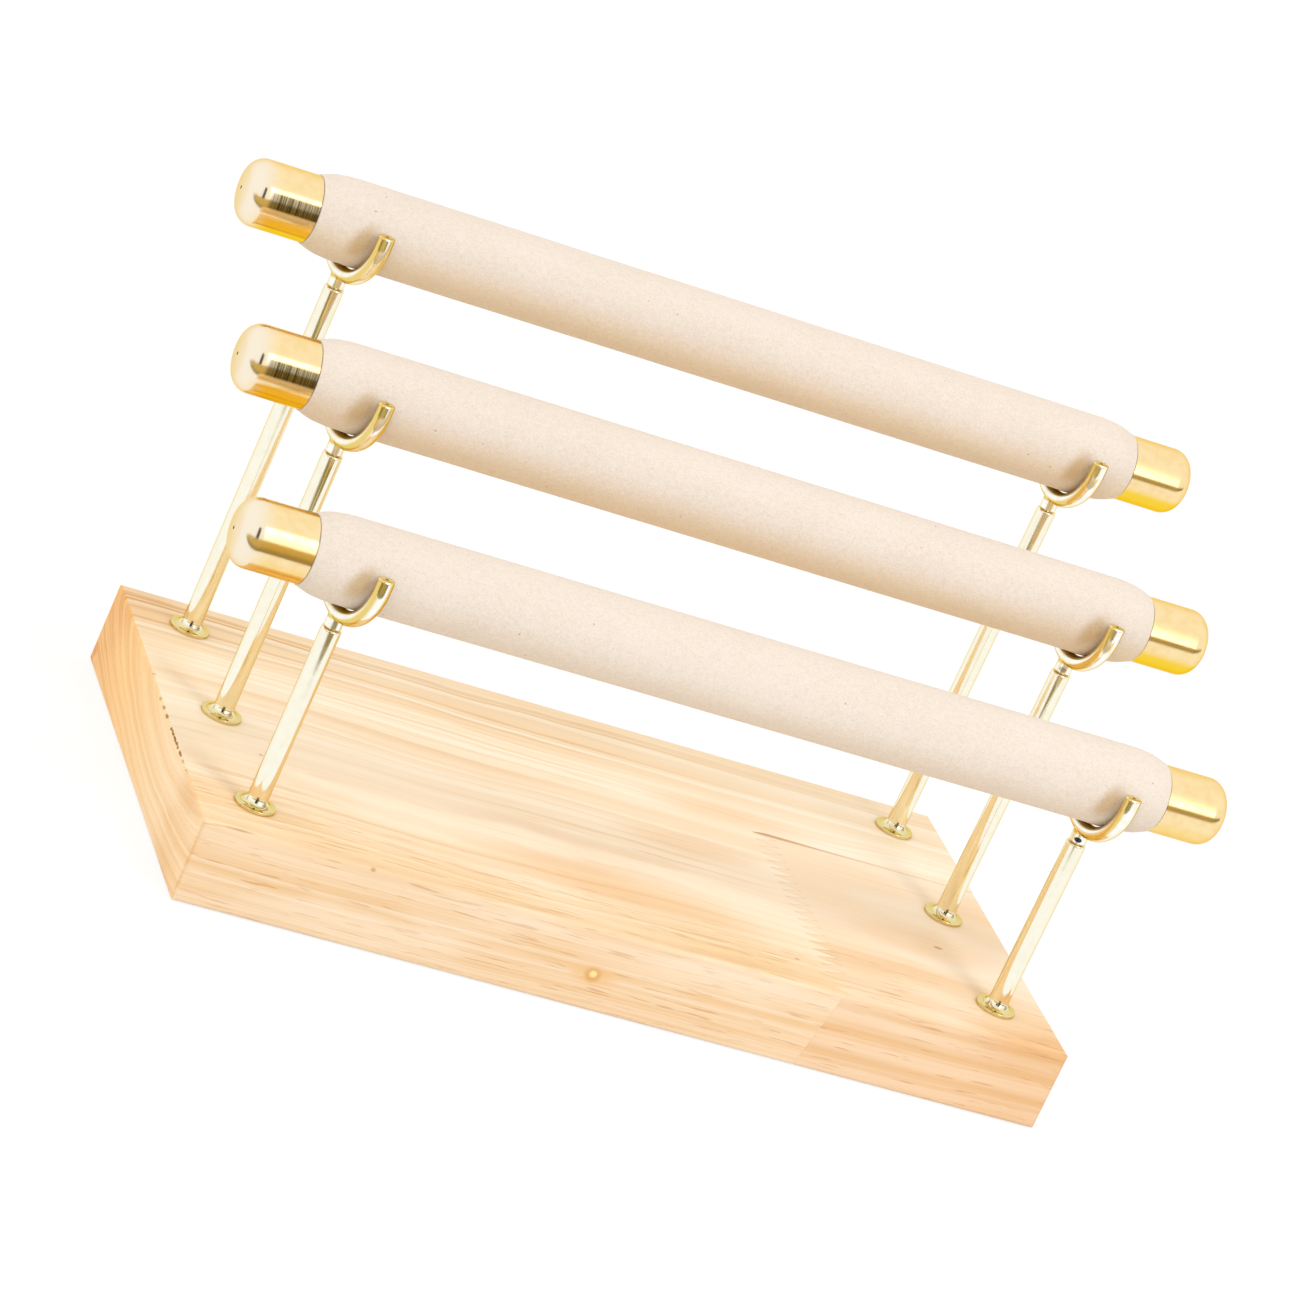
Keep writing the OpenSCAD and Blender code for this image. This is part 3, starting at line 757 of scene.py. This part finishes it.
wood = boardWood(boardLook)
suede = suedeCloth(suedeLook)
postGold = goldMetal("postGold", postLook, postFinish)
cradleGold = goldMetal("cradleGold", cradleLook, cradleFinish)
capGold = goldMetal("capGold", capLook, capFinish)
steel = plainFinish("screwSteel", steelLook)
dowelWood = plainFinish("dowelWood", dowelLook)
foam = plainFinish("paddingFoam", foamLook)
dress("base_board", wood)
dress("post_screws", steel)
dress("screw_washers", steel)
for row in rows:
    dress(row + "_dowel", dowelWood)
    dress(row + "_padding", foam)
    for side in sides:
        dress(f"{row}_{side}_post", postGold)
        dress(f"{row}_{side}_cradle", cradleGold)
        dress(f"{row}_{side}_cap", capGold)
print("materials made")

# padded sleeve of each bar, foam and suede in one form, swollen by a short cloth run
sleeveLook = {
    "radius": 13.8,
    "shoulder": 12.0,
    "endRadius": 11.3,
    "bore": 9.8,
    "lip": 0.5,
    "startIn": 0.35,  # the skin starts this much smaller and swells to its size
    "swellCap": 0.45,
    "pressure": 4,
    "stiffness": 12,
    "quality": 4,
    "frames": 20,
    "firmRings": 5,  # rings of points at each end that the cloth run holds
    "lump": 0.1,  # soft unevenness of the foam, broad and small
    "lumpScale": (0.035, 0.05, 0.05),
    "smallLump": 0.035,
    "smallScale": 0.16,
    "pucker": 0.2,
    "puckerScale": 3.4,
    "puckerReach": 9.0,
    "seamAngle": -128.0,  # degrees round the bar from the front, where the cloth's edges meet
    "seamDepth": 0.3,
    "seamHalf": 0.75,
    "around": 72,
    "stations": 124,
    "shoulderSteps": 7,
    "boreSteps": 12,
    "seatZone": 9.0,  # twice as many stations as close to a cradle as this
    "seatRadius": 14.5,  # inside of a cradle's bend
    "seatLift": 0.4,
    "seatKeep": 0.1,
    "seatCap": 0.7,
    "seatFade": (4.6, 1.0),
    "seatSides": (0.3, -0.05),
    # painted warm shade on the underside, weaker on the front bar
    "tan": {"front": 0.3, "middle": 1.0, "back": 1.0},
    "undersideShadeFade": (0.25, -0.55),
    "armShadowAway": 5.2,  # middle of a painted shadow of the arm, to its left
    "armShadowHalf": 5.8,
    "armShadowArc": 34.0,  # degrees round the bar
    "armShadowDrop": 5.0,
    "armShadowLean": 2.2,
    "armShadowFade": (1.0, 0.25),
    "armShadowStrength": 0.85,
}


def shoulderRadius(look, half, x):
    drop = look["radius"] - look["endRadius"]
    bend = (look["shoulder"] ** 2 + drop ** 2) / (2 * drop)
    past = max(0.0, abs(x) - (half - look["shoulder"]))
    return look["radius"] - bend + math.sqrt(bend ** 2 - past ** 2)


def sleeveSection(look, half):
    # closed outline of x and radius: the skin, the rounded lip and the bore, from the left end to the right
    lip, flat, steps = look["lip"], half - look["shoulder"], look["shoulderSteps"]
    xs = [-flat + 2 * flat * i / look["stations"] for i in range(look["stations"] + 1)]
    halfway = [(a + b) / 2 for a, b in zip(xs, xs[1:])]
    xs = sorted(xs + [x for x in halfway if abs(abs(x) - stand["postX"]) < look["seatZone"]])
    xs = [-half + lip + (look["shoulder"] - lip) * i / steps for i in range(steps)] + xs
    xs += [flat + (look["shoulder"] - lip) * i / steps for i in range(1, steps + 1)]
    skin = [(x, shoulderRadius(look, half, x)) for x in xs]
    rim = shoulderRadius(look, half, half - lip)
    curl = [(half - lip + lip * math.sin(a), rim - lip + lip * math.cos(a)) for a in (0.5, 1.05, 1.57)]
    inEnd = half - 0.2  # the bore's edges are eased
    rightEnd = curl + [(half, look["bore"] + 0.35), (inEnd, look["bore"])]
    leftEnd = [(-x, r) for x, r in reversed(rightEnd)]
    steps = look["boreSteps"]
    bore = [(inEnd - 2 * inEnd * i / steps, look["bore"]) for i in range(1, steps)]
    return skin, rightEnd + bore + leftEnd


def sleeveMesh(name, look, half, y, z):
    skin, rest = sleeveSection(look, half)
    around, firm, outline = look["around"], look["firmRings"], skin + rest
    verts, faces = [], []
    for index, (x, r) in enumerate(outline):
        inner = r - look["startIn"] if firm - 1 <= index <= len(skin) - firm else r
        for k in range(around):
            a = 2 * math.pi * k / around
            verts.append((x * mm, (y - inner * math.cos(a)) * mm, (z + inner * math.sin(a)) * mm))
    for i in range(len(outline)):
        j = (i + 1) % len(outline)
        for k in range(around):
            n = (k + 1) % around
            faces.append((i * around + k, j * around + k, j * around + n, i * around + n))
    mesh = bpy.data.meshes.new(name)
    mesh.from_pydata(verts, [], faces)
    mesh.polygons.foreach_set("use_smooth", [True] * len(faces))
    sleeve = bpy.data.objects.new(name, mesh)
    scene.collection.objects.link(sleeve)
    held = sleeve.vertex_groups.new(name="held")
    ends = [*range(firm * around), *range((len(skin) - firm) * around, len(verts))]
    held.add(ends, 1.0, "REPLACE")
    return sleeve, len(skin) * around


def swellSleeve(sleeve, look):
    # a short cloth run with pressure and no gravity, its moves capped
    before = [v.co.copy() for v in sleeve.data.vertices]
    cloth = sleeve.modifiers.new("cloth", "CLOTH")
    cloth.settings.quality = look["quality"]
    cloth.settings.use_pressure = True
    cloth.settings.uniform_pressure_force = look["pressure"]
    cloth.settings.tension_stiffness = cloth.settings.compression_stiffness = look["stiffness"]
    cloth.settings.vertex_group_mass = "held"
    cloth.settings.effector_weights.gravity = 0
    cloth.collision_settings.use_collision = False
    for step in range(look["frames"]):
        scene.frame_set(step + 1)
    shown = sleeve.evaluated_get(bpy.context.evaluated_depsgraph_get()).to_mesh()
    after = [v.co.copy() for v in shown.vertices]
    sleeve.modifiers.remove(cloth)
    cap = look["swellCap"] * mm
    for vertex, start, end in zip(sleeve.data.vertices, before, after):
        move = end - start
        vertex.co = start + move * min(1.0, cap / max(move.length, 1e-9))
    scene.frame_set(1)


def seatDistance(look, turn, off, up):
    # how far a cradle's inside lies from the bar's middle in this direction
    lift, inside, flat = look["seatLift"], look["seatRadius"], math.cos(math.radians(turn))
    across = (off / flat) ** 2 + up ** 2
    reach = (lift * up + math.sqrt((lift * up) ** 2 + across * (inside ** 2 - lift ** 2))) / across
    return reach if reach * up < lift else inside * flat / max(abs(off), 1e-6)


def fade(value, low, high):
    share = min(1.0, max(0.0, (value - low) / (high - low)))
    return share * share * (3 - 2 * share)


def pressIntoSeats(look, x, off, up, reach):
    # the soft bar fills the gap to the cradles that it lies in
    turn = stand["turn"]["left" if x < 0 else "right"]
    away = abs(x - math.copysign(stand["postX"], x) + off * math.tan(math.radians(turn)))
    share = fade(away, *look["seatFade"]) * fade(up / reach, *look["seatSides"])
    wanted = seatDistance(look, turn, off / reach, up / reach) - look["seatKeep"]
    return reach + share * max(0.0, min(look["seatCap"], wanted - reach))


def armShadowShare(look, x, off, up, reach):
    # painted soft shadow of a cradle's near arm, on the front to the left of the arm
    if off > 0:
        return 0.0
    turn = math.radians(stand["turn"]["left" if x < 0 else "right"])
    armX = math.copysign(stand["postX"], x) + look["seatRadius"] * math.sin(turn)
    aside = x - armX + look["armShadowAway"]
    angle = math.degrees(math.asin(max(-1.0, min(1.0, up / reach))))
    lean = angle + look["armShadowDrop"] - look["armShadowLean"] * aside
    reach = math.hypot(aside / look["armShadowHalf"], lean / look["armShadowArc"])
    return look["armShadowStrength"] * fade(reach, *look["armShadowFade"])


def settleSleeve(sleeve, look, row, half, y, z, seed, skinCount):
    # soft unevenness of the foam, small puckers at the gathered ends and the seam underneath
    count = len(sleeve.data.vertices)
    tan, armShadow = [0.0] * count, [0.0] * count
    alongScale, acrossScale, upScale = look["lumpScale"]
    small = look["smallScale"]
    for vertex in list(sleeve.data.vertices)[:skinCount]:
        x, off, up = vertex.co.x / mm, vertex.co.y / mm - y, vertex.co.z / mm - z
        radius, angle = math.hypot(off, up), math.atan2(up, -off)
        lump = noise.noise(Vector((x * alongScale, off * acrossScale, up * upScale + seed * 7.3)))
        smallLump = noise.noise(Vector((x * small + seed, off * small, up * small)))
        limit = shoulderRadius(look, half, min(max(x, -half + look["lip"]), half - look["lip"]))
        wanted = limit - look["lump"] + look["lump"] * lump + look["smallLump"] * smallLump
        nearEnd = max(0.0, 1 - (half - abs(x)) / look["puckerReach"])
        pucker = noise.noise(Vector((angle * look["puckerScale"], seed * 3.1, x * 0.02)))
        wanted -= look["pucker"] * nearEnd * (0.5 + pucker)
        gap = math.radians((math.degrees(angle) - look["seamAngle"] + 180) % 360 - 180)
        wanted -= look["seamDepth"] * math.exp(-((gap * radius / look["seamHalf"]) ** 2))
        soft = min((radius + wanted) / 2, limit)
        reach = pressIntoSeats(look, x, off * limit / radius, up * limit / radius, soft)
        share = reach / radius
        vertex.co.y, vertex.co.z = (y + off * share) * mm, (z + up * share) * mm
        # painted warm shade underneath and painted shadows of the cradles' arms, kept for the suede
        tan[vertex.index] = look["tan"][row] * fade(up / radius, *look["undersideShadeFade"])
        armShadow[vertex.index] = armShadowShare(look, x, off, up, radius)
    for key, values in (("tan", tan), ("armShadow", armShadow)):
        sleeve.data.attributes.new(key, "FLOAT", "POINT").data.foreach_set("value", values)


def makeSleeve(row, seed):
    low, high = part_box(row + "_cover")
    half = (high.x - low.x) / 2 / mm
    y, z = (low.y + high.y) / 2 / mm, (low.z + high.z) / 2 / mm
    sleeve, skinCount = sleeveMesh(row + "_sleeve", sleeveLook, half, y, z)
    swellSleeve(sleeve, sleeveLook)
    settleSleeve(sleeve, sleeveLook, row, half, y, z, seed, skinCount)
    smooth = sleeve.modifiers.new("smooth", "SUBSURF")
    smooth.levels = smooth.render_levels = 1
    sleeve.vertex_groups.clear()
    sleeve.data.materials.append(suede)
    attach(sleeve, "root")
    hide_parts(row + "_cover", row + "_padding")


for index, row in enumerate(rows):
    makeSleeve(row, index + 1)
    print("sleeve made:", row)

# white table and surroundings, softbox from the front right, dark room beyond the table's front edge
studio = {
    "tableHalf": 9.0,
    "tableTone": 0.8,  # what the table gives back to the object
    "tableShown": 1.02,  # what the camera sees of it where no shadow falls
    "shadowShare": 0.3,  # how much of the table's own shading the camera sees
    "metalWhite": (1.1, 1.17, 1.42, 1.0),  # cool white that only the metals mirror
    "skyLight": 0.95,
    "skyTint": (1.02, 1.0, 0.95),
    "horizonLight": 0.83,
    "leftLight": 0.55,  # a brighter side of the room
    "tableEdgeY": -0.265,
    "tableCorner": 0.0,  # x from where that edge runs away to the front
    "tableSlant": -1.03,
    "darkTone": (0.3, 0.235, 0.09, 1.0),  # the dark side of the room beside the table, and further away
    "floorTone": (0.66, 0.5, 0.17, 1.0),
    "floorFade": 0.32,
    "darkWidth": 8.0,
    "darkTop": 0.31,
    "wallY": -1.25,
    "personPlace": (-0.76, -1.74),
    "personSize": (0.55, 1.75),
    "personTone": (0.02, 0.018, 0.015, 1.0),
    "aim": (0.0, 0.0, 0.12),
    "softboxPlace": (0.56, -1.26, 0.87),
    "softboxSize": (0.52, 1.1),
    "softboxPower": 4.0,
    "softboxTone": (1.0, 0.985, 0.965),
    "lampPlace": (0.3, -0.76, 1.31),  # a smaller lamp, high at the front right
    "lampSize": (0.3, 0.3),
    "lampTone": (0.95, 1.0, 1.1),
    "lampPower": 3.5,
}


def flatCard(name, corners, material):
    mesh = bpy.data.meshes.new(name)
    mesh.from_pydata(corners, [], [(0, 1, 2, 3)])
    mesh.materials.append(material)
    card = bpy.data.objects.new(name, mesh)
    scene.collection.objects.link(card)
    return card


def emptyMaterial(name):
    material = bpy.data.materials.new(name)
    material.use_nodes = True
    tree = material.node_tree
    tree.nodes.remove(tree.nodes["Principled BSDF"])
    return material, tree


def seenRays(tree):
    path = addNode(tree, "ShaderNodeLightPath")
    glossy = calc(tree, "MAXIMUM", path.outputs["Is Glossy Ray"], path.outputs["Is Transmission Ray"])
    return path.outputs["Is Camera Ray"], glossy


def areaLight(name, place, size, power, colour, aim):
    data = bpy.data.lights.new(name, "AREA")
    data.shape = "RECTANGLE"
    data.size, data.size_y = size
    data.energy = power
    data.color = colour
    light = bpy.data.objects.new(name, data)
    scene.collection.objects.link(light)
    light.location = place
    light.rotation_euler = (Vector(aim) - light.location).to_track_quat("-Z", "Y").to_euler()
    return light


def makeTable(look):
    # white paper that keeps the object's shadow
    table, tree = emptyMaterial("tableWhite")
    camera, glossy = seenRays(tree)
    shade, tone = look["shadowShare"], look["tableTone"]
    white = (look["tableShown"] - shade * tone) / (1 - shade)
    shown = mixPaint(tree, glossy, (white, white, white, 1.0), look["metalWhite"])
    glow = addNode(tree, "ShaderNodeEmission", {"Color": shown, "Strength": 1.0})
    paper = addNode(tree, "ShaderNodeBsdfDiffuse", {"Color": (tone, tone, tone, 1)})
    share = calc(tree, "MULTIPLY_ADD", camera, 1.0 - shade, glossy, clamp=True)
    mixed = addNode(tree, "ShaderNodeMixShader", {0: share, 1: paper.outputs[0], 2: glow.outputs[0]})
    plug(tree, tree.nodes["Material Output"].inputs["Surface"], mixed.outputs[0])
    h, z = look["tableHalf"], -0.0003
    flatCard("table", [(-h, -h, z), (h, -h, z), (h, h, z), (-h, h, z)], table)


def makeDarkRoom(look):
    # glowing floor and wall beyond the table's front edge, darkest beside the table, seen only in the metals'
    # reflections
    dark, tree = emptyMaterial("darkRoom")
    edge, wall, wide, top = look["tableEdgeY"], look["wallY"], look["darkWidth"] / 2, look["darkTop"]
    corner, slant = look["tableCorner"], look["tableSlant"]
    x, y = splitAxes(tree, addNode(tree, "ShaderNodeTexCoord").outputs["Object"])[:2]
    ahead = calc(tree, "SUBTRACT", edge, y)
    aside = calc(tree, "MULTIPLY_ADD", calc(tree, "SUBTRACT", x, corner), slant, ahead)
    past = calc(tree, "MINIMUM", ahead, times(tree, aside, 1 / math.hypot(1, slant)))
    shown = mixPaint(tree, spread(tree, past, 0.0, look["floorFade"]), look["darkTone"], look["floorTone"])
    glow = addNode(tree, "ShaderNodeEmission", {"Color": shown, "Strength": 1.0})
    plug(tree, tree.nodes["Material Output"].inputs["Surface"], glow.outputs[0])
    endX, z = corner + (wall - edge) / slant, 0.001
    floor = [(-wide, wall, z), (endX, wall, z), (corner, edge, z), (-wide, edge, z)]
    upright = [(-wide, wall, 0), (wide, wall, 0), (wide, wall, top), (-wide, wall, top)]
    return [flatCard("darkFloor", floor, dark), flatCard("darkWall", upright, dark)]


def makePerson(look):
    # whoever takes the picture stands behind the camera, dark
    midX, midY = look["personPlace"]
    half, tall = look["personSize"][0] / 2, look["personSize"][1]
    turn = math.atan2(midY, midX) + math.pi / 2
    stepX, stepY = half * math.cos(turn), half * math.sin(turn)
    low, high = (midX - stepX, midY - stepY), (midX + stepX, midY + stepY)
    cloth = bpy.data.materials.new("darkPerson")
    cloth.use_nodes = True
    shader = cloth.node_tree.nodes["Principled BSDF"]
    shader.inputs["Base Color"].default_value = look["personTone"]
    shader.inputs["Roughness"].default_value = 0.9
    return flatCard("person", [(*low, 0.0), (*high, 0.0), (*high, tall), (*low, tall)], cloth)


def makeWorld(look):
    world = scene.world or bpy.data.worlds.new("room")
    scene.world = world
    world.use_nodes = True
    tree = world.node_tree
    camera, glossy = seenRays(tree)
    east, _, up = splitAxes(tree, addNode(tree, "ShaderNodeTexCoord").outputs["Generated"])
    sky = calc(tree, "MAXIMUM", up, 0.0)
    sky = calc(tree, "MULTIPLY_ADD", sky, look["skyLight"] - look["horizonLight"], look["horizonLight"])
    west = calc(tree, "MAXIMUM", times(tree, east, -1.0), 0.0)
    sky = calc(tree, "MULTIPLY_ADD", west, look["leftLight"], sky)
    sky = vecCalc(tree, "MULTIPLY", sky, look["skyTint"])
    shown = mixPaint(tree, camera, sky, (1.0, 1.0, 1.0, 1.0))
    shown = mixPaint(tree, glossy, shown, look["metalWhite"])
    plug(tree, tree.nodes["Background"].inputs["Color"], shown)


def makeStudio(look):
    makeTable(look)
    for card in [*makeDarkRoom(look), makePerson(look)]:  # only the metals mirror these
        card.visible_camera = card.visible_diffuse = card.visible_shadow = False
        card.visible_transmission = card.visible_volume_scatter = False
    makeWorld(look)
    for name in ("softbox", "lamp"):
        place, size, power, tone = (look[name + key] for key in ("Place", "Size", "Power", "Tone"))
        light = areaLight(name, place, size, power, tone, look["aim"])
        light.visible_glossy = name == "softbox"  # the lamp only gives the posts' thin shadows


makeStudio(studio)
scene.view_settings.view_transform = "Standard"
print("studio made")
